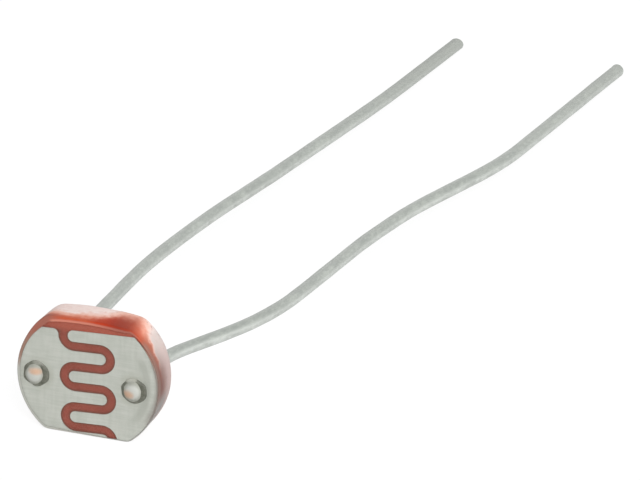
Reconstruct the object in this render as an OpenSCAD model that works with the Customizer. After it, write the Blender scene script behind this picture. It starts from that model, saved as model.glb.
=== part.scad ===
// Photoresistor with a flat-sided round head and two hand-bent wire leads.
// The head stands on its lower flat and the tips of the leads touch the same surface behind it.
// X runs along the lead pitch, +Y from the face to the leads, +Z up.

/* [Ceramic disc] */
// Diameter of the ceramic disc across its round rim
disc_d = 5.02; // [4.7:0.02:7]
// Height of the ceramic disc across its two flats
disc_h = 4.04; // [3.4:0.02:4.6]
// Thickness of the ceramic disc
disc_t = 1.4; // [0.9:0.05:3]
// Rounding of the ceramic's back edge
disc_edge = 0.35; // [0.05:0.05:0.4]

/* [Films] */
// Thickness of the light-sensitive film
cds_t = 0.04; // [0.03:0.01:0.1]
// Thickness of the metal film
metal_t = 0.03; // [0.03:0.01:0.1]
// Ground left bare between the metal's round edge and the rim
metal_margin = 0.05; // [-0.02:0.01:0.15]
// Sideways shift of the metal's round edge on the disc
metal_shift_x = 0.01; // [-0.1:0.01:0.1]
// Upward shift of the metal's round edge on the disc
metal_shift_z = -0.05; // [-0.1:0.01:0.1]
// Height of the metal's straight top edge above the middle of the top run
metal_rise = 0.58; // [0.4:0.02:0.8]

/* [Meander] */
// Number of straight runs
runs = 5; // [3:2:5]
// Distance between the middles of two runs
run_pitch = 0.735; // [0.6:0.005:0.8]
// Straight length of a run between its bends
run_len = 0.94; // [0.5:0.02:1.2]
// Width of the bare trace
trace_w = 0.34; // [0.2:0.01:0.45]
// Rounding of the metal's two corners beside the upper leg of the trace
shoulder_r = 0.2; // [0.05:0.01:0.2]
// Turn of the pattern on the disc, in degrees
pattern_turn = 3; // [-10:0.1:10]
// Sideways shift of the pattern's middle
pattern_shift_x = 0; // [-0.2:0.01:0.2]
// Upward shift of the pattern's middle
pattern_shift_z = -0.32; // [-0.4:0.01:0.4]

/* [Leads] */
// Diameter of the lead wire
lead_d = 0.48; // [0.3:0.01:0.5]
// Distance between the two leads where they leave the head
lead_pitch = 3.48; // [3.2:0.02:3.7]
// Sideways shift of the pair of leads on the disc
lead_shift_x = -0.1; // [-0.15:0.01:0.15]
// Upward shift of the pair of leads on the disc
lead_shift_z = -0.11; // [-0.2:0.01:0.2]
// Play between a lead and its hole in the ceramic, all round
hole_play = 0.04; // [0.02:0.01:0.08]
// Diameter of the domed end of a lead on the face
dome_d = 0.64; // [0.58:0.02:0.8]
// Height of the domed end above the metal
dome_h = 0.17; // [0.12:0.01:0.3]
// Straight wire behind the resin collar, before the first bend
lead_out = 0.3; // [0.1:0.05:2]
// Bend radius where a lead leaves the head
exit_bend_r = 1.5; // [1:0.1:4]
// Bend radius of the gentle sways along a lead
sway_r = 15; // [8:1:30]
// Straight free end of the left lead
tail_left = 6.4; // [3:0.1:12]
// Straight free end of the right lead
tail_right = 9.5; // [3:0.1:12]
// Chamfer on the free end of a lead
tip_chamfer = 0.06; // [0.02:0.01:0.12]

/* [Contact paste] */
// Outer diameter of the paste ring round a lead's dome
paste_d = 0.94; // [0.8:0.02:1.1]
// Height of the paste ring where it meets the dome
paste_h = 0.09; // [0.05:0.01:0.12]

/* [Resin coat] */
// Thickness of the coat on the rim and the flats
coat_rim = 0.04; // [0.03:0.01:0.2]
// Thickness of the coat over the metal on the face
coat_front = 0.08; // [0.05:0.01:0.2]
// Thickness of the coat on the back
coat_back = 0.25; // [0.1:0.01:0.4]
// Rise of the coat in the middle of the top flat
coat_crown = 0.1; // [0.04:0.01:0.2]
// Thickness of the coat over a lead's dome
coat_dome = 0.03; // [0.02:0.01:0.1]
// Height of the resin collar round a lead on the back
collar_h = 0.35; // [0.1:0.05:0.8]
// Foot radius of the resin collar
collar_r = 0.36; // [0.32:0.02:0.5]

/* [Hidden] */
$fn = 96;

disc_r = disc_d / 2;
film_t = cds_t + metal_t;
lead_r = lead_d / 2;
hole_r = lead_r + hole_play;
head_r = disc_r + coat_rim;
head_half = disc_h / 2 + coat_rim;
head_front = film_t + coat_front;
head_back = -disc_t - coat_back;
// Each edge of the coat is round enough to clear the edge inside it
front_edge = coat_rim + coat_front;
back_edge = disc_edge + coat_back;
// The crown of the top passes through both of its corners
corner_x = sqrt(head_r * head_r - head_half * head_half);
crown_r = (corner_x * corner_x + coat_crown * coat_crown) / (2 * coat_crown);
// Radius of a lead's dome, and of the mound of resin that covers it with its paste
dome_r = cap_radius(dome_d / 2, dome_h);
mound_h = dome_h + coat_dome;
mound_r = cap_radius(paste_d / 2 + coat_front, mound_h);

// Bends of a lead: the straight length before each, then its turn to the right in degrees
bends_left = [[0.6, 1], [2, -2.5], [4.7, 6], [4.2, 3.5], [3.4, -1.5], [8.9, -2.5]];
bends_right = [[0.6, 22], [2.5, -18.5], [5.5, 3.5], [2.2, 6.5], [3.8, -10]];

x_left = lead_shift_x - lead_pitch / 2;
x_right = lead_shift_x + lead_pitch / 2;
lead_height = head_half + lead_shift_z;
// The face of the ceramic and the end of a lead's straight shank, along Y
face_y = (head_front + head_back) / 2;
exit_y = face_y - head_back + collar_h + lead_out;
// The bent stretch of a lead is swept with flat sides, just inside the round ends that it joins
wire_sides = 16;
wire_inset = 0.003;
wire_joint = 0.3;
bend_step = 4;

// Colours of the pieces
ceramic_colour = [0.93, 0.86, 0.83];
cds_colour = [0.62, 0.32, 0.28];
metal_colour = [0.75, 0.75, 0.71];
lead_colour = [0.70, 0.72, 0.70];
paste_colour = [0.40, 0.40, 0.36];
resin_colour = [0.86, 0.45, 0.34, 0.45];

// The face frame: X to the right, Y up, Z out of the face, with zero on the front of the ceramic
module on_face() {
    translate([0, face_y, head_half]) rotate([90, 0, 0]) children();
}

module at_leads() {
    for (x = [x_left, x_right]) translate([x, lead_shift_z]) children();
}

// Half of a section from the axis out to reach, with its two outer corners rounded
module edge_section(reach, low, high, low_edge, high_edge) {
    difference() {
        translate([0, low]) square([reach, high - low]);
        translate([reach - low_edge, low]) corner_cut(low_edge);
        translate([reach - high_edge, high]) mirror([0, 1]) corner_cut(high_edge);
    }
}

module corner_cut(edge) {
    if (edge > 0) difference() {
        square(edge);
        translate([0, edge]) circle(edge);
    }
}

// Bar across the head with its section in the face frame's Y and Z
module bar_across() {
    rotate([90, 0, 90]) linear_extrude(4 * head_r, center = true) children();
}

module disc_outline() {
    intersection() {
        circle(disc_r);
        square([disc_d, disc_h], center = true);
    }
}

// The disc with its round back edge, from its back up to the level high
module disc_body(high) {
    intersection() {
        rotate_extrude() edge_section(disc_r, -disc_t, high, disc_edge, 0);
        bar_across() {
            edge_section(disc_h / 2, -disc_t, high, disc_edge, 0);
            mirror([1, 0]) edge_section(disc_h / 2, -disc_t, high, disc_edge, 0);
        }
    }
}

// Sphere radius of a cap from its foot radius and its height
function cap_radius(foot, height) = (foot * foot + height * height) / (2 * height);

// Cap on the metal, from a sphere turned so that its poles lie off the cap
module cap_on_metal(r, height) {
    translate([0, 0, film_t]) intersection() {
        translate([0, 0, height - r]) rotate([90, 0, 0]) sphere(r);
        translate([-r, -r, 0]) cube(2 * r);
    }
}

// Level of run k in the pattern's own frame, counted from the top run
function run_level(k) = ((runs - 1) / 2 - k) * run_pitch;

// Side of the bend that follows run k: 1 right, -1 left
function bend_side(k) = k % 2 == 0 ? 1 : -1;

// Points on the trace's middle line round one of its bends
function arc_points(middle, from, to) =
    [for (a = [from : (to - from) / 4 : to]) middle + run_pitch / 2 * [cos(a), sin(a)]];

module on_pattern() {
    translate([pattern_shift_x, pattern_shift_z]) rotate(pattern_turn) children();
}

module trace_ring() {
    difference() {
        circle((run_pitch + trace_w) / 2);
        circle((run_pitch - trace_w) / 2);
    }
}

// The bare trace: runs, half-round bends, and a leg off the disc at each end
module trace() {
    on_pattern() {
        for (k = [0 : runs - 1]) translate([0, run_level(k)]) square([run_len, trace_w], center = true);
        for (k = [0 : runs - 2]) translate([bend_side(k) * run_len / 2, run_level(k) - run_pitch / 2]) {
            intersection() {
                trace_ring();
                translate([(bend_side(k) - 1) * run_pitch / 2, -run_pitch]) square([run_pitch, 2 * run_pitch]);
            }
        }
        trace_leg();
        rotate(180) trace_leg();
        leg_flare();
    }
}

module trace_leg() {
    translate([-run_len / 2, run_level(0) + run_pitch / 2]) {
        intersection() {
            trace_ring();
            translate([-run_pitch, -run_pitch]) square(run_pitch);
        }
        translate([-(run_pitch + trace_w) / 2, 0]) square([trace_w, disc_r]);
    }
}

// Widening of the upper leg where it meets the metal's top edge
module leg_flare() {
    low = run_level(0) + metal_rise - shoulder_r;
    half = trace_w / 2 + shoulder_r;
    translate([-(run_len + run_pitch) / 2, low]) difference() {
        translate([-half, 0]) square([2 * half, 2 * shoulder_r]);
        for (x = [-half, half]) translate([x, 0]) circle(shoulder_r);
    }
}

// All that lies to the left of the trace's middle line
module left_of_trace() {
    first = [-run_len / 2, run_level(0) + run_pitch / 2];
    bends = [for (k = [0 : runs - 2])
        arc_points([bend_side(k) * run_len / 2, run_level(k) - run_pitch / 2], 90, 90 - 180 * bend_side(k))];
    on_pattern() polygon(concat(
        [[-disc_d, disc_d], [first.x - run_pitch / 2, disc_d]],
        arc_points(first, 180, 270),
        [for (bend = bends) each bend],
        arc_points(-first, 90, 0),
        [[run_pitch / 2 - first.x, -disc_d], [-disc_d, -disc_d]]));
}

// The metal on the face before the trace parts it into two combs
module metal_outline() {
    intersection() {
        disc_outline();
        translate([metal_shift_x, metal_shift_z]) circle(disc_r - metal_margin);
        on_pattern() translate([-disc_d, run_level(0) + metal_rise - 2 * disc_d]) square(2 * disc_d);
    }
}

module metal_comb() {
    difference() {
        metal_outline();
        trace();
        at_leads() circle(hole_r);
    }
}

module metal_film() {
    on_face() translate([0, 0, cds_t]) linear_extrude(metal_t) children();
}

module ceramic_substrate() {
    color(ceramic_colour) on_face() difference() {
        disc_body(0);
        at_leads() cylinder(h = 4 * disc_t, r = hole_r, center = true);
    }
}

module cds_layer() {
    color(cds_colour) on_face() linear_extrude(cds_t) difference() {
        disc_outline();
        at_leads() circle(hole_r);
    }
}

module electrode_left() {
    color(metal_colour) metal_film() intersection() {
        metal_comb();
        left_of_trace();
    }
}

module electrode_right() {
    color(metal_colour) metal_film() difference() {
        metal_comb();
        left_of_trace();
    }
}

function bend_radius(k) = k == 0 ? exit_bend_r : sway_r;

// Direction of a lead before bend k, to the right in degrees
function heading(bends, k) = k == 0 ? 0 : bends[k - 1][1] + heading(bends, k - 1);

// Points along the bends of a lead in its own sloping plane, sideways and forward, from bend k on
function bend_points(bends, k = 0, at = [0, 0]) =
    k == len(bends) ? [] :
    let (
        h = heading(bends, k),
        turn = bends[k][1],
        r = bend_radius(k) * sign(turn),
        start = at + bends[k][0] * [sin(h), cos(h)],
        steps = ceil(abs(turn) / bend_step),
        arc = [for (i = [0 : steps])
            let (a = h + turn * i / steps) start + r * [cos(h) - cos(a), sin(a) - sin(h)]]
    )
    concat(arc, bend_points(bends, k + 1, arc[steps]));

// Downward slope that brings a lead's end, far behind the head, onto the surface under it
function slope(far) = asin(lead_height / norm([far, lead_r])) - atan2(lead_r, far);

// A point of the sloping plane in the part's own frame
function lifted(x, point, fall) =
    [x + point[0], exit_y + point[1] * cos(fall), lead_height - point[1] * sin(fall)];

function unit(v) = v / norm(v);

// Ring of the swept wire round point p, square to the direction along
function wire_ring(p, along) =
    let (side = unit(cross(along, [0, 0, 1])), up = cross(side, along), r = lead_r - wire_inset)
    [for (j = [0 : wire_sides - 1]) let (a = 360 * j / wire_sides) p + r * (cos(a) * side + sin(a) * up)];

// Flat-sided wire along a list of points
module swept_wire(points) {
    last = len(points) - 1;
    rings = [for (i = [0 : last])
        wire_ring(points[i], unit(points[min(i + 1, last)] - points[max(i - 1, 0)]))];
    sides = [for (i = [0 : last - 1], j = [0 : wire_sides - 1])
        let (a = i * wire_sides + j, b = i * wire_sides + (j + 1) % wire_sides)
        each [[a, b, b + wire_sides], [a, b + wire_sides, a + wire_sides]]];
    front_cap = [for (j = [wire_sides - 1 : -1 : 0]) j];
    back_cap = [for (j = [0 : wire_sides - 1]) last * wire_sides + j];
    polyhedron([for (ring = rings) each ring], concat(sides, [front_cap, back_cap]));
}

module lead(x, bends, tail) {
    h = heading(bends, len(bends));
    plan = bend_points(bends);
    tail_start = plan[len(plan) - 1];
    fall = slope(tail_start[1] + (tail - tip_chamfer) * cos(h));
    joint = wire_joint * [sin(h), cos(h)];
    middle_line = [for (p = concat([[0, 0]], plan, [tail_start + joint])) lifted(x, p, fall)];
    along = [sin(h), cos(h) * cos(fall), -cos(h) * sin(fall)];
    color(lead_colour) {
        on_face() translate([x, lead_shift_z]) {
            cap_on_metal(dome_r, dome_h);
            translate([0, 0, face_y - exit_y]) cylinder(h = exit_y - face_y + film_t + dome_h / 4, r = lead_r);
        }
        swept_wire(concat([[x, exit_y - wire_joint, lead_height]], middle_line));
        translate(lifted(x, tail_start, fall)) rotate([0, acos(along.z), atan2(along.y, along.x)])
            rotate_extrude() polygon([[0, 0], [lead_r, 0], [lead_r, tail - tip_chamfer],
                [lead_r - tip_chamfer, tail], [0, tail]]);
    }
}

module lead_left() lead(x_left, bends_left, tail_left);

module lead_right() lead(x_right, bends_right, tail_right);

module paste_cone() {
    translate([0, 0, film_t]) cylinder(h = paste_h, r1 = paste_d / 2, r2 = dome_d / 2);
}

module contact_paste(x) {
    color(paste_colour) on_face() translate([x, lead_shift_z]) difference() {
        paste_cone();
        cap_on_metal(dome_r, dome_h);
    }
}

module contact_paste_left() contact_paste(x_left);

module contact_paste_right() contact_paste(x_right);

// Outside of the coat: a round rim cut by the lower flat and by the crowned top,
// with a mound over each dome and a collar round each lead on the back
module coat_outside() {
    intersection() {
        rotate_extrude() edge_section(head_r, head_back, head_front, back_edge, front_edge);
        bar_across() {
            mirror([1, 0]) edge_section(head_half, head_back, head_front, back_edge, front_edge);
            translate([0, head_back]) square([2 * head_r, head_front - head_back]);
        }
        translate([0, head_half + coat_crown - crown_r, 0])
            rotate_extrude() edge_section(crown_r, head_back, head_front, back_edge, front_edge);
    }
    at_leads() cap_on_metal(mound_r, mound_h);
    at_leads() translate([0, 0, head_back - collar_h])
        cylinder(h = collar_h + coat_back / 2, r1 = lead_r + coat_rim, r2 = collar_r);
}

// What the coat lies round
module coat_inside() {
    disc_body(film_t);
    at_leads() {
        paste_cone();
        cap_on_metal(dome_r, dome_h);
        translate([0, 0, face_y - exit_y]) cylinder(h = exit_y - face_y, r = lead_r);
    }
}

// The ground with no metal on it, which the coat fills up to the level of the metal
module bare_ground() {
    intersection() {
        disc_outline();
        union() {
            trace();
            difference() {
                circle(disc_d);
                metal_outline();
            }
        }
    }
}

module resin_coat() {
    color(resin_colour) {
        on_face() difference() {
            coat_outside();
            coat_inside();
        }
        metal_film() bare_ground();
    }
}

ceramic_substrate();
cds_layer();
electrode_left();
electrode_right();
lead_left();
lead_right();
contact_paste_left();
contact_paste_right();
resin_coat();
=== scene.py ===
import math

import bpy
import numpy as np
from mathutils import Matrix, Vector, noise


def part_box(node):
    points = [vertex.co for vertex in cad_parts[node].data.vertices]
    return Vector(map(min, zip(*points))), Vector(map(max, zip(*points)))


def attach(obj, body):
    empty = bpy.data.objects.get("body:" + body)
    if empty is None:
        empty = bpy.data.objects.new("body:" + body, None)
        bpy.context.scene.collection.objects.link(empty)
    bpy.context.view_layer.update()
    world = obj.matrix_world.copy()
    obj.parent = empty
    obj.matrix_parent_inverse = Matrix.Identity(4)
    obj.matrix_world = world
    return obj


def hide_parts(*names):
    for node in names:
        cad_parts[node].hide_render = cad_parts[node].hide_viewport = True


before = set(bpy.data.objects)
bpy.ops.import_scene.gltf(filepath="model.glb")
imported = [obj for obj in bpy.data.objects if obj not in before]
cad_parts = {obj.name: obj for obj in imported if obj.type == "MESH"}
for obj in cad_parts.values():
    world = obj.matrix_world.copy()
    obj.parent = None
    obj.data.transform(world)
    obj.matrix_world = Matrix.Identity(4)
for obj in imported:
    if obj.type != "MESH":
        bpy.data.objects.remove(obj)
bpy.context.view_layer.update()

# Sizes are in millimetres, in the part's own frame, where no other unit is named
MM = 0.001

# The photograph's view: its angles in degrees, and where the middle of the face lies on the picture
AZIMUTH = 18.8
ELEVATION = 23.5
ROLL = 1.75
LENS = 1000
SENSOR = 36
PICTURE = (640, 480)
PIXELS_PER_MM = 29.7
FACE_PIXEL = (87.2, 380.5)
# How near and how far the camera sees, in metres
CLIP = (0.01, 10)

# The resin coat's outside
HEAD_R = 2.55
HEAD_HALF = 2.06
CROWN = 0.095
FRONT_Y = -0.9
BACK_Y = 0.9
FRONT_EDGE = 0.06
EDGE_THIN = 0.06
EDGE_THIN_W = 0.3
BACK_EDGE = 0.6
MOUND_H = 0.115
MOUND_R = 0.5
COLLAR_H = 0.35
COLLAR_FOOT = 0.44
COLLAR_TIP = 0.26
COLLAR_SINK = 0.14

# The lead wire, its domed end and the paste round it
WIRE_R = 0.232
METAL_Y = -0.82
DOME_R = 0.362
DOME_TALL = 1.15
DOME_H = 0.17
PASTE_IN = 0.27
PASTE_OUT = 0.46
PASTE_H = 0.06
# X and Z of the way that the wire's side with painted shade faces
SHADED_SIDE = (0.62, 0.785)

# The meander trace on the face
TRACE_TURN = 3
TRACE_SHIFT_Z = -0.32
RUN_PITCH = 0.735
RUN_LEN = 0.94
TRACE_W = 0.34
# Run pitches from the first fold to the middle of the trace
TURN_SHIFT = 6.5

HEAD_Z = HEAD_HALF
HEAD_T = BACK_Y - FRONT_Y
CORNER_X = math.sqrt(HEAD_R ** 2 - HEAD_HALF ** 2)


def srgb(red, green, blue):
    """A colour read as 0 to 255 on a screen, as the shader's linear colour."""
    def linear(level):
        level = level / 255
        return level / 12.92 if level <= 0.04045 else ((level + 0.055) / 1.055) ** 2.4
    return (linear(red), linear(green), linear(blue), 1)


def grey(level):
    return (level, level, level, 1)


def ripple(x, y, z, size, seed):
    """Smooth noise from -1 to 1 with lumps of the given size."""
    return noise.noise(Vector((x / size + seed, y / size - seed, z / size + 2 * seed)))


# Shader arithmetic


class Term:
    """A shader socket that takes part in plain arithmetic."""

    def __init__(self, finish, socket):
        self.finish = finish
        self.socket = socket

    def joined(self, operation, first, second):
        made = self.finish.node("ShaderNodeMath", {"operation": operation}, {0: first, 1: second})
        return Term(self.finish, made.outputs[0])

    def __add__(self, other):
        return self.joined("ADD", self, other)

    def __radd__(self, other):
        return self.joined("ADD", other, self)

    def __sub__(self, other):
        return self.joined("SUBTRACT", self, other)

    def __rsub__(self, other):
        return self.joined("SUBTRACT", other, self)

    def __mul__(self, other):
        return self.joined("MULTIPLY", self, other)

    def __rmul__(self, other):
        return self.joined("MULTIPLY", other, self)

    def __truediv__(self, other):
        return self.joined("DIVIDE", self, other)

    def __rtruediv__(self, other):
        return self.joined("DIVIDE", other, self)

    def __pow__(self, other):
        return self.joined("POWER", self, other)

    def __rpow__(self, other):
        return self.joined("POWER", other, self)

    def most(self, other):
        return self.joined("MAXIMUM", self, other)

    def least(self, other):
        return self.joined("MINIMUM", self, other)

    def turn(self, across):
        """Angle of a point this far up and that far across: 0.5 at the right, 0.75 at the top."""
        return self.joined("ARCTAN2", self, across) / (2 * math.pi) + 0.5

    def fold(self, size):
        """The term folded to and fro between 0 and size."""
        return self.joined("PINGPONG", self, size)

    def rise(self, low, high):
        """0 below low, 1 above high, smooth between them; falls where low is above high."""
        if low > high:
            return 1 - self.rise(high, low)
        made = self.finish.node(
            "ShaderNodeMapRange",
            {"interpolation_type": "SMOOTHSTEP"},
            {"Value": self, "From Min": low, "From Max": high},
        )
        return Term(self.finish, made.outputs[0])


class Finish:
    """A node material, with places measured in millimetres in the part's frame."""

    def __init__(self, name):
        self.material = bpy.data.materials.new(name)
        self.material.use_nodes = True
        self.tree = self.material.node_tree
        self.tree.nodes.clear()

    def node(self, kind, settings=None, inputs=None):
        made = self.tree.nodes.new(kind)
        for name, value in (settings or {}).items():
            if name == "stops":
                self.set_stops(made.color_ramp, value)
            else:
                setattr(made, name, value)
        for key, value in (inputs or {}).items():
            if isinstance(value, Term):
                self.tree.links.new(value.socket, made.inputs[key])
            elif isinstance(value, bpy.types.NodeSocket):
                self.tree.links.new(value, made.inputs[key])
            else:
                made.inputs[key].default_value = value
        return made

    def set_stops(self, ramp, stops):
        for _ in range(len(stops) - 2):
            ramp.elements.new(0.5)
        for element, (place, colour) in zip(ramp.elements, stops):
            element.position = place
            element.color = colour

    def parts(self, vector):
        made = self.node("ShaderNodeSeparateXYZ", None, {0: vector})
        return [Term(self, out) for out in made.outputs]

    def place(self):
        """The point on the surface in millimetres, as a vector and as its three parts."""
        where = self.node("ShaderNodeTexCoord").outputs["Object"]
        scaled = self.node("ShaderNodeVectorMath", {"operation": "SCALE"}, {0: where, "Scale": 1 / MM})
        return Term(self, scaled.outputs[0]), self.parts(scaled.outputs[0])

    def facing(self):
        """The three parts of the way that the surface faces, in the part's frame."""
        return self.parts(self.node("ShaderNodeTexCoord").outputs["Normal"])

    def stretched(self, where, factors):
        made = self.node("ShaderNodeVectorMath", {"operation": "MULTIPLY"}, {0: where, 1: factors})
        return Term(self, made.outputs[0])

    def cloud(self, where, scale, detail=2.0, roughness=0.5):
        made = self.node(
            "ShaderNodeTexNoise",
            None,
            {"Vector": where, "Scale": scale, "Detail": detail, "Roughness": roughness},
        )
        return Term(self, made.outputs["Fac"])

    def mix(self, factor, first, second):
        made = self.node("ShaderNodeMix", {"data_type": "RGBA"}, {0: factor, 6: first, 7: second})
        return Term(self, made.outputs[2])

    def ramp(self, factor, stops):
        made = self.node("ShaderNodeValToRGB", {"stops": stops}, {"Fac": factor})
        return Term(self, made.outputs["Color"])

    def levels(self, factor, stops):
        """A number read off between the stops' numbers."""
        return self.ramp(factor, [(place, grey(value)) for place, value in stops])

    def bump(self, height, strength, distance):
        made = self.node(
            "ShaderNodeBump",
            None,
            {"Height": height, "Strength": strength, "Distance": distance * MM},
        )
        return Term(self, made.outputs["Normal"])

    def surface(self, inputs):
        body = self.node("ShaderNodeBsdfPrincipled", None, inputs)
        self.node("ShaderNodeOutputMaterial", None, {"Surface": body.outputs[0]})
        return self.material


# Finishes


def rim_away(x, z):
    """Distance in from the head's outline."""
    up = z - HEAD_Z
    away = (HEAD_R - (x * x + up * up) ** 0.5).least(z)
    return away.least(2 * HEAD_HALF + CROWN - x * x * (CROWN / CORNER_X ** 2) - z)


def trace_away(x, z):
    """Distance from the middle line of the meander trace."""
    cosine, sine = math.cos(math.radians(TRACE_TURN)), math.sin(math.radians(TRACE_TURN))
    up = z - (HEAD_Z + TRACE_SHIFT_Z)
    along = x * cosine + up * sine
    over = up * cosine - x * sine
    # Folded so that the middles of the right turns read 0 and those of the left turns one pitch
    right = along.rise(-0.001, 0.001)
    fold = (over + RUN_PITCH * TURN_SHIFT).fold(RUN_PITCH)
    fold = right * fold + (1 - right) * (RUN_PITCH - fold)
    beyond = (along.most(along * -1) - RUN_LEN / 2).most(0)
    off = (beyond * beyond + fold * fold) ** 0.5 - RUN_PITCH / 2
    return off.most(off * -1)


def electrode_finish(places):
    """Evaporated grey metal: satin, faintly streaked and cloudy, and stained round the paste, with
    painted shade on its right.
    """
    finish = Finish("electrode_metal")
    where, (x, _, z) = finish.place()
    streaks = finish.cloud(finish.stretched(where, (0.5, 1, 7)), 2.2, 3)
    cross = finish.cloud(finish.stretched(where, (6, 1, 0.5)), 1.6, 2)
    patches = finish.cloud(where, 1.3, 3, 0.6)
    tone = streaks * 0.4 + cross * 0.25 + patches * 0.35
    colour = finish.mix(tone.rise(0.32, 0.68), srgb(169, 172, 163), srgb(185, 187, 179))
    for lead_x, lead_z in places:
        away = ((x - lead_x) * (x - lead_x) + (z - lead_z) * (z - lead_z)) ** 0.5
        ground = away.rise(0.74, 0.44) * patches.rise(0.3, 0.6)
        colour = finish.mix(ground * 0.6, colour, srgb(152, 153, 140))
    # A dark painted shadow beside the right lead's paste, a band of painted shade up and down from it,
    # and painted shade along the rim
    shadow_x, shadow_z = x - places[1][0] - 0.39, z - places[1][1] - 0.02
    paste_shadow = (shadow_x * shadow_x * 14 + shadow_z * shadow_z * 3).rise(0.5, 0.05)
    colour = finish.mix(paste_shadow * 0.95, colour, srgb(110, 113, 104))
    rim = rim_away(x, z)
    side = x.rise(0.9, 1.5) * z.rise(HEAD_Z + 1.3, HEAD_Z + 0.8)
    side = side * z.rise(HEAD_Z - 1.5, HEAD_Z - 0.95)
    # Painted shade in a band in from the right of the rim
    shade_band = rim.rise(0.24, 0.38) * rim.rise(0.66, 0.48)
    colour = finish.mix(side * shade_band * 0.75, colour, srgb(158, 160, 151))
    # Painted shade along the right of the rim, wider low down
    low = z.rise(HEAD_Z, HEAD_Z - 0.8)
    shaded = rim.rise(0.2, 0.07) * (1 - low) + rim.rise(0.3, 0.07) * low
    colour = finish.mix(side * shaded * 0.8, colour, srgb(140, 135, 128))
    grain = finish.cloud(where, 26, 2)
    return finish.surface({
        "Base Color": colour,
        "Metallic": 0.2,
        "Roughness": tone * 0.2 + 0.36,
        "Coat Weight": 0.15,
        "Coat Roughness": 0.2,
        "Normal": finish.bump(grain, 0.12, 0.01),
    })


def film_finish():
    """Red-brown light-sensitive film, fine-grained under the resin."""
    finish = Finish("cds_film")
    where, (x, _, z) = finish.place()
    grain = finish.cloud(where, 22, 3, 0.6)
    patches = finish.cloud(where, 1.8, 2)
    tone = (grain * 0.5 + patches * 0.5).rise(0.3, 0.7)
    colour = finish.mix(tone, srgb(126, 62, 51), srgb(143, 76, 64))
    # Warmer on the bare strip along the top, with painted shade along the borders of the trace beside
    # the metal
    strip = z.rise(2 * HEAD_HALF - 0.5, 2 * HEAD_HALF - 0.25)
    edge = (trace_away(x, z) + (grain - 0.5) * 0.03).rise(TRACE_W * 0.16, TRACE_W * 0.48)
    colour = finish.mix(edge * (1 - strip) * 0.8, colour, srgb(104, 66, 55))
    colour = finish.mix(strip * 0.6, colour, srgb(172, 88, 70))
    # Painted shading along the right of the rim, to pale grey low down and to brown higher up
    rim_shading = rim_away(x, z).rise(0.13, 0.1) * x.rise(1.0, 1.6)
    rim_shading = rim_shading * z.rise(HEAD_Z + 1.7, HEAD_Z + 1.3)
    dull = finish.mix(z.rise(HEAD_Z - 0.95, HEAD_Z - 1.5), srgb(166, 159, 151), srgb(186, 187, 180))
    dull = finish.mix(z.rise(HEAD_Z + 0.6, HEAD_Z + 1.2), dull, srgb(170, 130, 116))
    colour = finish.mix(rim_shading * 0.9, colour, dull)
    return finish.surface({
        "Base Color": colour,
        "Roughness": grain * 0.2 + 0.42,
        "Specular IOR Level": 0.15,
        "Normal": finish.bump(grain, 0.15, 0.01),
    })


def ceramic_finish():
    """White pressed ceramic, stained by the film at its front."""
    finish = Finish("ceramic")
    where, (_, y, _) = finish.place()
    cloud = finish.cloud(where, 1.6, 3, 0.6)
    depth = (y - FRONT_Y) / HEAD_T + (cloud - 0.5) * 0.5
    colour = finish.ramp(depth, [
        (0.1, srgb(176, 60, 48)),
        (0.3, srgb(214, 110, 80)),
        (0.5, srgb(236, 208, 200)),
        (0.9, srgb(240, 230, 226)),
    ])
    grain = finish.cloud(where, 30, 2)
    return finish.surface({
        "Base Color": colour,
        "Roughness": grain * 0.2 + 0.5,
        "Normal": finish.bump(grain, 0.2, 0.01),
    })


def paste_finish(name, place, bridge, bridge_strength, wear):
    """Dark olive-grey conductive paste, matte and uneven, thin where a pale bridge crosses it, with
    painted shade on its right.
    """
    finish = Finish(name)
    where, (x, _, z) = finish.place()
    over_x, over_z = x - place[0], z - place[1]
    away = (over_x * over_x + over_z * over_z) ** 0.5
    along = (over_x * math.cos(bridge) + over_z * math.sin(bridge)) / away
    lumps = finish.cloud(where, 5, 3, 0.6)
    dark = finish.mix(lumps.rise(0.35, 0.7), srgb(74, 76, 64), srgb(114, 115, 103))
    # Painted shade, darker towards the right of the ring
    dark = finish.mix(over_x.rise(0.1, 0.35) * 0.55, dark, srgb(70, 70, 58))
    wear_and_shade = (away + (lumps - 0.5) * 0.06).rise(PASTE_OUT - 0.08, PASTE_OUT + 0.06)
    dark = finish.mix(wear_and_shade * wear, dark, srgb(150, 152, 142))
    thin = (along + (lumps - 0.5) * 0.3).rise(0.84, 0.97)
    colour = finish.mix(thin * bridge_strength, dark, srgb(172, 172, 162))
    return finish.surface({
        "Base Color": colour,
        "Roughness": lumps * 0.3 + 0.4,
        "Normal": finish.bump(lumps, 0.4, 0.02),
    })


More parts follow.
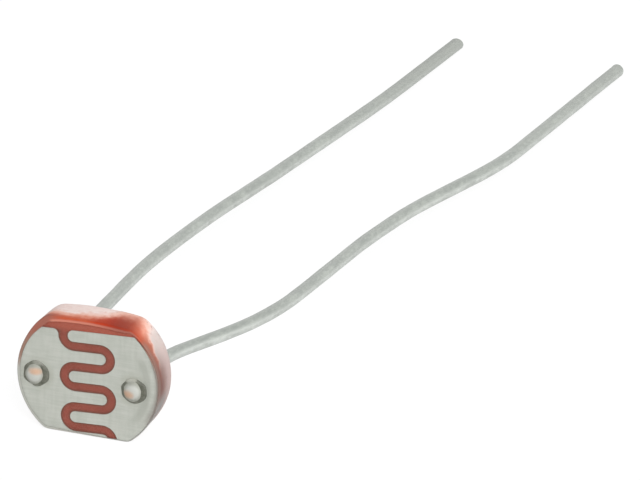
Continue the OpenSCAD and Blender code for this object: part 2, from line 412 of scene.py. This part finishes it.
def wire_finish(name, dome_at, bare_at, bare_size, tarnish):
    """Dull tinned wire, speckled and duller to the tip, with bare copper showing on its domed end, and
    painted shade along its upper right side and towards the dome's edge.
    """
    finish = Finish(name)
    where, (x, y, z) = finish.place()
    mottle = finish.cloud(finish.stretched(where, (1, 0.55, 1)), 2.2, 3, 0.55)
    specks = finish.cloud(finish.stretched(where, (1, 0.55, 1)), 7, 3, 0.65)
    tone = mottle * 0.45 + specks * 0.55
    tin = finish.ramp(tone, [
        (0.34, srgb(162, 166, 161)),
        (0.5, srgb(179, 183, 178)),
        (0.66, srgb(194, 198, 193)),
    ])
    # Painted shade along its upper right side
    facing_x, _, facing_z = finish.facing()
    upper = facing_x * SHADED_SIDE[0] + facing_z * SHADED_SIDE[1]
    shaded_side = (upper + (tone - 0.5) * 0.6).rise(0.7, 1.0)
    wear_and_shade = finish.mix(tone.rise(0.36, 0.64), srgb(128, 133, 128), srgb(155, 160, 153))
    tin = finish.mix(shaded_side * 0.75, tin, wear_and_shade)
    dull = (y + (mottle - 0.5) * 6).rise(24, 36)
    tin = finish.mix(dull * tarnish, tin, srgb(146, 149, 143))
    over_x, over_z = x - dome_at[0], z - dome_at[1]
    on_dome = y.rise(METAL_Y + 0.02, METAL_Y - 0.02)
    away = (over_x * over_x + over_z * over_z) ** 0.5
    # Painted shade towards the edge of the dome
    edge = (away + (mottle - 0.5) * 0.1).rise(0.18, 0.33)
    dome = finish.mix(edge * 0.85, srgb(189, 190, 184), srgb(150, 151, 141))
    bare_x = (x - bare_at[0]) / bare_size[0]
    bare_z = (z - bare_at[1]) / bare_size[1]
    bare = (bare_x * bare_x + bare_z * bare_z + (mottle - 0.5) * 1.2).rise(2.6, -0.2)
    dome = finish.mix(bare * 0.75, dome, srgb(200, 154, 120))
    return finish.surface({
        "Base Color": finish.mix(on_dome, tin, dome),
        "Metallic": 0.3,
        "Roughness": tone * 0.2 + 0.42 + on_dome * 0.21,
        "Normal": finish.bump(tone, 0.07, 0.02),
    })


def resin_finish():
    """Resin that is clear over the face, and clouds over the stained side and the pale back."""
    finish = Finish("resin")
    where, (x, y, z) = finish.place()
    across = x / HEAD_R
    level = (z - HEAD_Z) / HEAD_R
    depth = (y - FRONT_Y) / HEAD_T
    turn = level.turn(across)
    cloud = finish.cloud(where, 1.3, 4, 0.6)
    fine = finish.cloud(where, 5, 3, 0.6)
    left = across.rise(0.0, -0.5)
    right = across.rise(0.3, 0.7)
    top = level.rise(0.6, 0.7)

    # The clear face ends this far in from the head's outline
    brim = finish.levels(turn, [
        (0.0, 0.115), (0.04, 0.115), (0.16, 0.11), (0.2, 0.07), (0.3, 0.05),
        (0.4, 0.03), (0.58, 0.03), (0.63, 0.06), (0.66, 0.15), (0.75, 0.14),
        (0.83, 0.14), (0.87, 0.18), (0.91, 0.14), (0.95, 0.115), (1.0, 0.115),
    ])
    past = brim - rim_away(x, z) + (fine - 0.5) * 0.02
    wall = depth.rise(0.05, 0.09)
    cover = past.rise(-0.02, 0.02).most(wall)
    near = past.rise(-0.045, -0.02).most(wall)

    # The stain reaches furthest back at the upper right corner
    reach = finish.levels(turn, [
        (0.0, 0.14), (0.1, 0.12), (0.35, 0.18), (0.5, 0.22), (0.57, 0.26),
        (0.61, 0.35), (0.655, 0.8), (0.69, 0.7), (0.72, 0.42), (0.75, 0.32),
        (0.8, 0.26), (0.87, 0.3), (0.96, 0.28), (1.0, 0.14),
    ])
    reach = (reach + (cloud - 0.5) * 0.36 + (fine - 0.5) * 0.3).most(0.1)
    tint = depth / reach
    stain = finish.ramp(tint * 0.66, [
        (0.0, srgb(172, 76, 54)),
        (0.1, srgb(184, 86, 60)),
        (0.26, srgb(202, 108, 82)),
        (0.44, srgb(223, 150, 128)),
        (0.68, srgb(236, 192, 177)),
        (1.0, srgb(241, 222, 216)),
    ])
    side = right * level.rise(0.75, 0.6)
    stain = finish.mix(side * tint.rise(1.15, 0.6) * 0.8, stain, srgb(158, 90, 70))
    stain = finish.mix(side * tint.rise(0.8, 1.4), stain, srgb(204, 191, 186))
    stain = finish.mix(fine.rise(0.45, 0.7) * tint.rise(0.8, 1.2) * 0.25, stain, srgb(218, 180, 172))
    corner = finish.levels(turn, [(0.63, 0), (0.66, 0.7), (0.7, 1), (0.73, 0.8), (0.76, 0)])
    red = finish.mix(across.rise(0.15, 0.45), srgb(176, 56, 32), srgb(136, 46, 34))
    shade = finish.mix(corner * tint.rise(1.0, 0.4) * 0.95, stain, red)

    # Painted mauve shade on the right wall, deepest beside the face
    wall_shade = finish.levels(turn, [(0.34, 0), (0.4, 1), (0.51, 1), (0.54, 0.85), (0.6, 0)])
    shade_depth = (depth + (fine - 0.5) * 0.15).rise(0.68, 0.16)
    shade = finish.mix(wall_shade, shade, finish.mix(shade_depth, srgb(182, 161, 157), srgb(118, 82, 74)))

    # Brown along the upper left of the rim, and grey metal carried over it lower down; lower on the
    # right wall the grey is painted shade
    rough_depth = depth + (cloud - 0.5) * 0.2 + (fine - 0.5) * 0.12
    brown = across.rise(-0.35, -0.6) * level.rise(0.9, 0.8) * rough_depth.rise(0.3, 0.12)
    rim_brown = finish.mix(level.rise(0.35, 0.65), srgb(146, 120, 107), srgb(153, 98, 85))
    shade = finish.mix(brown * 0.95, shade, rim_brown)
    front = rough_depth.rise(0.44, 0.12)
    rough_level = level + (cloud - 0.5) * 0.3
    low = (rough_level.rise(0.24, -0.04) * left).most(level.rise(-0.01, -0.3))
    # The painted grey shade reaches further back low on the right wall
    shade_reach = right * rough_depth.rise(0.75, 0.35) * level.rise(-0.6, -0.3)
    low = low * front.most(shade_reach)
    low_right_shade = finish.mix(level.rise(-0.36, -0.6), srgb(143, 140, 137), srgb(184, 185, 180))
    carried_and_shade = finish.mix(across.rise(0.0, 0.5), srgb(178, 180, 173), low_right_shade)
    shade = finish.mix(low * 0.95, shade, carried_and_shade)

    # The back is pale and faintly clouded, with dark specks before it at the upper right
    milk = finish.mix(cloud.rise(0.35, 0.65), srgb(232, 217, 210), srgb(241, 230, 225))
    shade = finish.mix(rough_depth.rise(0.76, 0.98), shade, milk)
    specks = finish.cloud(where, 4, 3, 0.7).rise(0.56, 0.74)
    specks = specks * rough_depth.rise(0.3, 0.6) * rough_depth.rise(1.0, 0.8)
    specks = specks * across.rise(0.1, 0.5) * level.rise(0.2, 0.5)
    shade = finish.mix(specks * 0.6, shade, srgb(126, 92, 84))

    # A broad pale line of painted highlight along the top of the face's brim, and a soft dark line of
    # painted shade down its right side
    pale = past.rise(-0.05, 0.0) * past.rise(0.11, 0.05) * depth.rise(0.055, 0.03)
    pale = pale * level.rise(0.68, 0.74) * across.rise(-0.58, -0.5)
    light = finish.mix(across.rise(-0.1, 0.5), srgb(198, 130, 112), srgb(154, 100, 88))
    shade = finish.mix(pale * 0.8, shade, light)
    dark = past.rise(-0.02, 0.01) * depth.rise(0.2, 0.05) * right
    dark = dark * level.rise(-0.55, -0.35) * (1 - top)
    shade = finish.mix(dark * 0.5, shade, srgb(132, 121, 113))

    # The collars are clearer than the back
    clear = depth.rise(1.02, 1.1)
    return finish.surface({
        "Base Color": finish.mix(near, srgb(150, 156, 146), shade),
        "Roughness": fine * 0.2 + 0.4,
        "Specular IOR Level": 0.05,
        "Alpha": (cover * (0.97 - clear * 0.5)).most(0.03),
        "Normal": finish.bump(fine, 0.15, 0.03),
    })


# Meshes


def add_piece(name, points, faces, material, slot, *nodes):
    """A smooth mesh that rides on the part and stands for the CAD nodes named."""
    mesh = bpy.data.meshes.new(name)
    mesh.from_pydata([tuple(c * MM for c in p) for p in points], [], faces)
    mesh.validate()
    mesh.update()
    for polygon in mesh.polygons:
        polygon.use_smooth = True
    mesh.materials.append(material)
    piece = bpy.data.objects.new(name, mesh)
    bpy.context.scene.collection.objects.link(piece)
    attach(piece, "root")
    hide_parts(*nodes)


def loft(rings, first=None, last=None):
    """A skin over rings of equal count, closed to a point at its ends or from last ring to first."""
    count = len(rings[0])
    points = [p for ring in rings for p in ring]
    faces = []
    shut = first is None and last is None
    for k in range(len(rings) if shut else len(rings) - 1):
        here = k * count
        there = (k + 1) % len(rings) * count
        for j in range(count):
            n = (j + 1) % count
            faces.append((here + j, there + j, there + n, here + n))
    if first is not None:
        points.append(first)
        faces += [(len(points) - 1, j, (j + 1) % count) for j in range(count)]
    if last is not None:
        points.append(last)
        start = (len(rings) - 1) * count
        faces += [(len(points) - 1, start + (j + 1) % count, start + j) for j in range(count)]
    return points, faces


def joined(*parts):
    """Several lots of points and faces as one."""
    points = []
    faces = []
    for more_points, more_faces in parts:
        start = len(points)
        points += more_points
        faces += [tuple(start + i for i in face) for face in more_faces]
    return points, faces


def lead_places():
    """Where each lead passes through the head: X and Z, from the CAD paste ring round it."""
    places = []
    for node in ("contact_paste_left", "contact_paste_right"):
        low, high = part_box(node)
        middle = (low + high) / 2 / MM
        places.append((middle.x, middle.z))
    return places


# The coat: rings of the head's outline, from the middle of the face over the rim to the back

OUTLINE_STEPS = 288
FACE_RINGS = 52
BACK_RINGS = 24
SIDE_RINGS = 14
FRONT_EDGE_RINGS = 8
BACK_EDGE_RINGS = 16
CORNER_SHARPNESS = 70
# The flats bound the outline only where the sine of its angle is past this
FLAT_SINE = 0.1
# The fuller upper left corner: how far it stands out, and its angle and spread in degrees
SHOULDER = 0.06
SHOULDER_ANGLE = 131
SHOULDER_SPREAD = 15
# Gentle waves of the wall and of the back: their depth, their size and the noise that they come from
WALL_WAVE = 0.012
WALL_WAVE_SIZE = 0.8
WALL_SEED = 3
BACK_WAVE = 0.02
BACK_WAVE_SIZE = 0.9
BACK_SEED = 5
# The waves of the back reach full depth this share of the way in from its edge
BACK_WAVE_IN = 0.25
COLLAR_SIDES = 40
COLLAR_STEPS = 14
COLLAR_FLARE = 2.4
COLLAR_WAVE = 0.05
COLLAR_WAVE_SIZE = 0.7
COLLAR_SEED = 7


def outline(inset, shoulder=0):
    """The head's outline drawn in by inset, with rounded corners and a fuller upper left one."""
    crown_r = (CORNER_X ** 2 + CROWN ** 2) / (2 * CROWN)
    crown_z = HEAD_HALF + CROWN - crown_r
    ring = []
    for j in range(OUTLINE_STEPS):
        angle = 2 * math.pi * j / OUTLINE_STEPS
        cosine, sine = math.cos(angle), math.sin(angle)
        spans = [HEAD_R - inset]
        if sine < -FLAT_SINE:
            spans.append((HEAD_HALF - inset) / -sine)
        if sine > FLAT_SINE:
            spans.append(crown_z * sine + math.sqrt((crown_r - inset) ** 2 - (crown_z * cosine) ** 2))
        span = sum(v ** -CORNER_SHARPNESS for v in spans) ** (-1 / CORNER_SHARPNESS)
        span += shoulder * math.exp(-((math.degrees(angle) - SHOULDER_ANGLE) / SHOULDER_SPREAD) ** 2)
        ring.append((span * cosine, min(span * sine, HEAD_HALF + CROWN - inset)))
    return ring


def face_swell(x, z, places):
    """Rise of the coat over the lead ends."""
    rise = 0
    for lead_x, lead_z in places:
        away = math.hypot(x - lead_x, z - lead_z) / MOUND_R
        if away < 1:
            rise += MOUND_H * math.cos(math.pi / 2 * away) ** 2
    return rise


def coat_skin(places):
    """The outside of the head, swelling over the lead ends and thin towards the face's edge."""
    inner = outline(FRONT_EDGE, SHOULDER)
    rings = []
    for k in range(1, FACE_RINGS + 1):
        share = k / FACE_RINGS
        left = min(1, (1 - share) * HEAD_R / EDGE_THIN_W)
        thin = EDGE_THIN * (1 - left * left * (3 - 2 * left))
        ring = []
        for x, z in inner:
            swell = face_swell(x * share, z * share + HEAD_Z, places)
            ring.append((x * share, FRONT_Y + thin - swell, z * share + HEAD_Z))
        rings.append(ring)

    def add_ring(inset, y, uneven):
        ring = []
        for x, z in outline(inset, SHOULDER * max(0, 1 - (y - FRONT_Y))):
            dip = WALL_WAVE * uneven * (1 + ripple(x, y, z, WALL_WAVE_SIZE, WALL_SEED))
            keep = 1 - dip / HEAD_R
            ring.append((x * keep, y, z * keep + HEAD_Z))
        rings.append(ring)

    edge_y = FRONT_Y + EDGE_THIN
    for k in range(1, FRONT_EDGE_RINGS + 1):
        angle = math.pi / 2 * k / FRONT_EDGE_RINGS
        add_ring(FRONT_EDGE * (1 - math.sin(angle)), edge_y + FRONT_EDGE * (1 - math.cos(angle)), 0)
    side = HEAD_T - EDGE_THIN - FRONT_EDGE - BACK_EDGE
    for k in range(1, SIDE_RINGS):
        y = edge_y + FRONT_EDGE + side * k / SIDE_RINGS
        add_ring(0, y, math.sin(math.pi / 2 * k / SIDE_RINGS))
    for k in range(BACK_EDGE_RINGS):
        angle = math.pi / 2 * k / BACK_EDGE_RINGS
        add_ring(BACK_EDGE * (1 - math.cos(angle)), BACK_Y - BACK_EDGE * (1 - math.sin(angle)), 1)
    back = outline(BACK_EDGE)
    for k in range(BACK_RINGS):
        share = 1 - k / BACK_RINGS
        ring = []
        for x, z in back:
            wave = 1 + ripple(x * share, 0, z * share, BACK_WAVE_SIZE, BACK_SEED)
            dip = BACK_WAVE * wave * min(1, (1 - share) / BACK_WAVE_IN)
            ring.append((x * share, BACK_Y - dip, z * share + HEAD_Z))
        rings.append(ring)
    return loft(rings, (0, FRONT_Y, HEAD_Z), (0, BACK_Y - BACK_WAVE, HEAD_Z))


def collar(lead_x, lead_z):
    """Resin drawn up round a lead where it leaves the back."""
    foot_y = BACK_Y - COLLAR_SINK
    rings = []
    for k in range(COLLAR_STEPS + 1):
        share = k / COLLAR_STEPS
        y = foot_y + (COLLAR_H + COLLAR_SINK) * share
        radius = COLLAR_TIP + (COLLAR_FOOT - COLLAR_TIP) * (1 - share) ** COLLAR_FLARE
        ring = []
        for j in range(COLLAR_SIDES):
            angle = 2 * math.pi * j / COLLAR_SIDES
            cosine, sine = math.cos(angle), math.sin(angle)
            wave = ripple(cosine, y, sine, COLLAR_WAVE_SIZE, COLLAR_SEED + lead_x)
            wobble = 1 + COLLAR_WAVE * (1 - share) * wave
            ring.append((lead_x + radius * wobble * cosine, y, lead_z + radius * wobble * sine))
        rings.append(ring)
    return loft(rings, (lead_x, foot_y, lead_z), (lead_x, BACK_Y + COLLAR_H, lead_z))


def build_coat(places):
    parts = [coat_skin(places)] + [collar(*place) for place in places]
    add_piece("resin_skin", *joined(*parts), resin_finish(), "resin", "resin_coat")


# The leads: fine round wire along the middle line of each CAD lead

# Rings at the cut end of a lead: how far back from the end, and the share of the wire's radius
CUT_TIP = [(0.16, 1.0), (0.1, 1.01), (0.05, 1.02), (0.02, 0.99), (0.006, 0.94), (0.0, 0.85)]
WIRE_SIDES = 28
WIRE_STEP = 0.2
# The shank starts this far behind the front of the metal film
SHANK_SINK = 0.01
# The CAD lead is sliced from this far behind its collar to this far before its end
SLICE_START = 0.2
SLICE_STOP = 0.6
# Slices back from the last one that give the way of the free end, and points between it and the tip
TAIL_SLICES = 12
TAIL_SHARES = (0.34, 0.67)
TIP_DEPTH = 0.002
# Faint dents in the wire, and the points along it over which they set in
DENT = 0.05
DENT_SIZE = 0.9
DENT_ROUND = 0.4
DENT_POINTS = 20
DOME_RINGS = 10
DOME_WAVE = 0.07
DOME_WAVE_SIZE = 0.8
DOME_WAVE_STEP = 0.1


def middle_line(node, lead_x, lead_z, easing):
    """Points along a CAD lead's middle, from the metal film to the middle of its free end."""
    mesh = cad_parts[node].data
    points = np.array([v.co for v in mesh.vertices]) / MM
    edges = np.array([e.vertices[:] for e in mesh.edges])
    start, end = points[edges[:, 0]], points[edges[:, 1]]
    line = []
    far = points[:, 1].max()
    for y in np.arange(BACK_Y + COLLAR_H + SLICE_START, far - SLICE_STOP, WIRE_STEP):
        crossing = (start[:, 1] - y) * (end[:, 1] - y) < 0
        before, after = start[crossing], end[crossing]
        share = (y - before[:, 1]) / (after[:, 1] - before[:, 1])
        cut = before + (after - before) * share[:, None]
        line.append((cut.min(0) + cut.max(0)) / 2)
    line = np.array(line)
    along = line[-1] - line[-TAIL_SLICES]
    along /= np.linalg.norm(along)
    reach = points @ along
    tip = points[reach > reach.max() - TIP_DEPTH].mean(0)
    shank_y = np.arange(METAL_Y + SHANK_SINK, line[0][1] - WIRE_STEP / 2, WIRE_STEP)
    shank = [(lead_x, y, lead_z) for y in shank_y]
    tail = [line[-1] + (tip - line[-1]) * share for share in TAIL_SHARES]
    whole = np.vstack([shank, line, tail, tip[None]])
    eased = whole.copy()
    for _ in range(easing):
        eased[1:-1] = (eased[:-2] + 2 * eased[1:-1] + eased[2:]) / 4
    return eased


def wire_ring(centre, along, radius, seed, uneven, lean):
    """Ring round the wire, a little dented, and leaning where the wire is cut askew."""
    side = along.cross(Vector((0, 0, 1))).normalized()
    up = side.cross(along)
    ring = []
    for j in range(WIRE_SIDES):
        angle = 2 * math.pi * j / WIRE_SIDES
        cosine, sine = math.cos(angle), math.sin(angle)
        wave = ripple(cosine * DENT_ROUND, centre.y, sine * DENT_ROUND, DENT_SIZE, seed)
        dented = radius * (1 - DENT * uneven * (0.5 + 0.5 * wave))
        point = centre + side * (dented * cosine) + up * (dented * sine)
        ring.append(tuple(point + along * (lean * dented * (cosine - sine))))
    return ring


def dome_rings(dome_x, dome_z, seed):
    """The upset end of a lead on the face, from its top down to the metal."""
    cap_r = (DOME_R ** 2 + DOME_H ** 2) / (2 * DOME_H)
    reach = math.asin(DOME_R / cap_r)
    rings = []
    for k in range(1, DOME_RINGS + 1):
        slope = reach * k / DOME_RINGS
        radius = cap_r * math.sin(slope)
        y = METAL_Y - DOME_H + cap_r * (1 - math.cos(slope))
        ring = []
        # The dome's rings turn the same way round as the wire's
        for j in range(WIRE_SIDES):
            angle = 2 * math.pi * j / WIRE_SIDES
            cosine, sine = math.cos(angle), math.sin(angle)
            wobble = 1 + DOME_WAVE * ripple(cosine, k * DOME_WAVE_STEP, sine, DOME_WAVE_SIZE, seed)
            x, z = dome_x + radius * wobble * cosine, dome_z + radius * wobble * sine * DOME_TALL
            ring.append((x, y, z))
        rings.append(ring)
    return rings


def build_lead(node, name, place, tip_lean, dome_shift, bare_shift, bare_size, tarnish, easing, seed):
    """A lead in one skin: its domed end, the wire along the CAD lead's middle line, and its cut tip."""
    lead_x, lead_z = place
    dome_at = (lead_x + dome_shift[0], lead_z + dome_shift[1])
    bare_at = (dome_at[0] + bare_shift[0], dome_at[1] + bare_shift[1])
    line = [Vector(p) for p in middle_line(node, lead_x, lead_z, easing)]
    rings = dome_rings(*dome_at, seed)
    last = len(line) - 1
    way = (line[-1] - line[-3]).normalized()
    end = line[-1] - way * (tip_lean * WIRE_R)
    cut_back = CUT_TIP[0][0]
    for k, point in enumerate(line):
        along = (line[min(k + 1, last)] - line[max(k - 1, 0)]).normalized()
        if (end - point).dot(way) < cut_back:
            break
        rings.append(wire_ring(point, along, WIRE_R, seed, min(1, k / DENT_POINTS), 0))
    for back, share in CUT_TIP:
        rings.append(wire_ring(end - way * back, way, WIRE_R * share, seed, 1, tip_lean))
    points, faces = loft(rings, (dome_at[0], METAL_Y - DOME_H, dome_at[1]), tuple(end))
    material = wire_finish(name + "_tin", dome_at, bare_at, bare_size, tarnish)
    add_piece(name, points, faces, material, "tinned_wire", node)


# The paste: an uneven ring round each dome

PASTE_SIDES = 80
PASTE_RINGS = 12
# The ring's outer edge: lumps, six blunt corners among them, and a side that spreads further
PASTE_LUMP = 0.03
PASTE_LUMP_SIZE = 0.55
PASTE_CORNERS = 6
PASTE_CORNER = 0.35
PASTE_CORNER_TURN = 0.42
PASTE_SPREAD = 0.045
# The ring's arch: where on it the inner edge starts, its fullness, and the shares of its height
PASTE_ARCH_START = 0.25
PASTE_ARCH_FULL = 0.8
PASTE_EVEN = 0.8
PASTE_HEAVY = 0.2
PASTE_ROUGH = 0.25
PASTE_ROUGH_SIZE = 0.4


def build_paste(node, name, place, shift, heavy_turn, bridge, bridge_strength, wear, seed):
    """A closed ring of paste on the metal, wider and thicker on the side at heavy_turn."""
    ring_x, ring_z = place[0] + shift[0], place[1] + shift[1]
    rings = []
    for k in range(PASTE_RINGS + 1):
        share = k / PASTE_RINGS
        arch = PASTE_ARCH_START + (1 - PASTE_ARCH_START) * share
        bulge = math.sin(math.pi * min(1, arch)) ** PASTE_ARCH_FULL
        ring = []
        for j in range(PASTE_SIDES):
            angle = 2 * math.pi * j / PASTE_SIDES
            cosine, sine = math.cos(angle), math.sin(angle)
            lump = ripple(cosine, 0, sine, PASTE_LUMP_SIZE, seed)
            lump += PASTE_CORNER * math.cos(PASTE_CORNERS * (angle + PASTE_CORNER_TURN))
            heavy = math.cos(angle - heavy_turn)
            out = PASTE_OUT + PASTE_LUMP * lump + PASTE_SPREAD * heavy
            radius = PASTE_IN + (out - PASTE_IN) * share
            rough = ripple(cosine, share, sine, PASTE_ROUGH_SIZE, seed + 2)
            height = PASTE_H * bulge * (PASTE_EVEN + PASTE_HEAVY * heavy + PASTE_ROUGH * rough)
            ring.append((ring_x + radius * cosine, METAL_Y - max(height, 0.0), ring_z + radius * sine))
        rings.append(ring)
    underside = [(x, METAL_Y, z) for x, _, z in rings[0]]
    points, faces = loft([underside] + rings)
    material = paste_finish(name, (ring_x, ring_z), bridge, bridge_strength, wear)
    add_piece(name, points, faces, material, "contact_paste", node)


# Build

left_place, right_place = lead_places()
build_coat((left_place, right_place))
build_lead(
    "lead_left", "wire_left", left_place, tip_lean=0.25, dome_shift=(-0.06, 0.0),
    bare_shift=(0.05, 0.14), bare_size=(0.2, 0.1), tarnish=0.55, easing=80, seed=2.3,
)
build_lead(
    "lead_right", "wire_right", right_place, tip_lean=0.0, dome_shift=(-0.015, -0.04),
    bare_shift=(-0.14, -0.1), bare_size=(0.17, 0.13), tarnish=0.25, easing=14, seed=6.1,
)
build_paste(
    "contact_paste_left", "paste_left", left_place, shift=(-0.06, 0.04), heavy_turn=-0.35,
    bridge=1.35, bridge_strength=0.45, wear=0.2, seed=1.7,
)
build_paste(
    "contact_paste_right", "paste_right", right_place, shift=(-0.03, -0.02), heavy_turn=-0.2,
    bridge=1.75, bridge_strength=0.8, wear=0.15, seed=4.4,
)

metal = electrode_finish((left_place, right_place))
for node, material in (
    ("ceramic_substrate", ceramic_finish()),
    ("cds_layer", film_finish()),
    ("electrode_left", metal),
    ("electrode_right", metal),
):
    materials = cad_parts[node].data.materials
    materials.clear()
    materials.append(material)


# Camera, light and floor

# Where the lamps point, and each one's name, place, size and power, in metres and watts
LAMP_AIM = (0, 0.01, 0)
LAMPS = (
    ("key", (0.28, -0.52, 0.42), 0.4, 4.1),
    ("fill", (0.5, 0.05, 0.1), 0.3, 0.9),
    ("back", (0.1, 0.9, 0.14), 0.5, 1.2),
)

# The sky's light on the object, and the floor's: its colour for light and for the eye, and its glow
SKY_LIGHT = 0.48
FLOOR_LIGHT = 0.8
FLOOR_SHADE = 0.16
FLOOR_GLOW = 0.88
# Half the floor's side and its height, in metres
FLOOR_HALF = 1.5
FLOOR_Z = -0.00002


def view_axes():
    """The picture's right and up, and the way back to the camera."""
    azimuth, elevation, roll = [math.radians(angle) for angle in (AZIMUTH, ELEVATION, ROLL)]
    flat = math.cos(elevation)
    back = Vector((math.sin(azimuth) * flat, -math.cos(azimuth) * flat, math.sin(elevation)))
    level = Vector((math.cos(azimuth), math.sin(azimuth), 0))
    rise = back.cross(level)
    right = level * math.cos(roll) + rise * math.sin(roll)
    up = rise * math.cos(roll) - level * math.sin(roll)
    return right, up, back


def add_camera():
    right, up, back = view_axes()
    away = LENS / SENSOR * PICTURE[0] / PIXELS_PER_MM
    across = (FACE_PIXEL[0] - PICTURE[0] / 2) / PIXELS_PER_MM
    over = (PICTURE[1] / 2 - FACE_PIXEL[1]) / PIXELS_PER_MM
    spot = Vector((0, FRONT_Y, HEAD_Z)) + back * away - right * across - up * over
    data = bpy.data.cameras.new("photo_view")
    data.lens = LENS
    data.sensor_width = SENSOR
    data.clip_start, data.clip_end = CLIP
    camera = bpy.data.objects.new("photo_view", data)
    turned = Matrix((right, up, back)).transposed().to_4x4()
    camera.matrix_world = Matrix.Translation(spot * MM) @ turned
    bpy.context.scene.collection.objects.link(camera)
    bpy.context.scene.camera = camera


def add_lamp(name, spot, size, power):
    data = bpy.data.lights.new(name, "AREA")
    data.shape = "DISK"
    data.size = size
    data.energy = power
    lamp = bpy.data.objects.new(name, data)
    lamp.location = spot
    lamp.rotation_mode = "QUATERNION"
    lamp.rotation_quaternion = (Vector(LAMP_AIM) - Vector(spot)).to_track_quat("-Z", "Y")
    bpy.context.scene.collection.objects.link(lamp)


class Surroundings(Finish):
    """The world's own nodes, written as a finish is."""

    def __init__(self, tree):
        self.tree = tree
        self.tree.nodes.clear()


def seen_directly(finish):
    """1 where the camera sees a surface straight, in a mirror or through glass."""
    path = finish.node("ShaderNodeLightPath")
    camera, glossy, through = [
        Term(finish, path.outputs[name])
        for name in ("Is Camera Ray", "Is Glossy Ray", "Is Transmission Ray")
    ]
    return camera.most(glossy).most(through)


def add_surroundings():
    world = bpy.data.worlds.new("studio")
    world.use_nodes = True
    bpy.context.scene.world = world
    sky = Surroundings(world.node_tree)
    strength = SKY_LIGHT + (1 - SKY_LIGHT) * seen_directly(sky)
    glow = sky.node("ShaderNodeBackground", None, {"Color": grey(1), "Strength": strength})
    sky.node("ShaderNodeOutputWorld", None, {"Surface": glow.outputs[0]})

    finish = Finish("floor")
    seen = seen_directly(finish)
    paint = finish.mix(seen, grey(FLOOR_LIGHT), grey(FLOOR_SHADE))
    matte = finish.node("ShaderNodeBsdfDiffuse", None, {"Color": paint})
    glow = finish.node("ShaderNodeEmission", None, {"Color": grey(1), "Strength": seen * FLOOR_GLOW})
    both = finish.node("ShaderNodeAddShader", None, {0: matte.outputs[0], 1: glow.outputs[0]})
    finish.node("ShaderNodeOutputMaterial", None, {"Surface": both.outputs[0]})
    corners = [(-1, -1), (1, -1), (1, 1), (-1, 1)]
    points = [(FLOOR_HALF * x, FLOOR_HALF * y, FLOOR_Z) for x, y in corners]
    mesh = bpy.data.meshes.new("floor")
    mesh.from_pydata(points, [], [(0, 1, 2, 3)])
    mesh.materials.append(finish.material)
    floor = bpy.data.objects.new("floor", mesh)
    bpy.context.scene.collection.objects.link(floor)


add_camera()
add_surroundings()
for lamp in LAMPS:
    add_lamp(*lamp)
bpy.context.scene.view_settings.view_transform = "Standard"
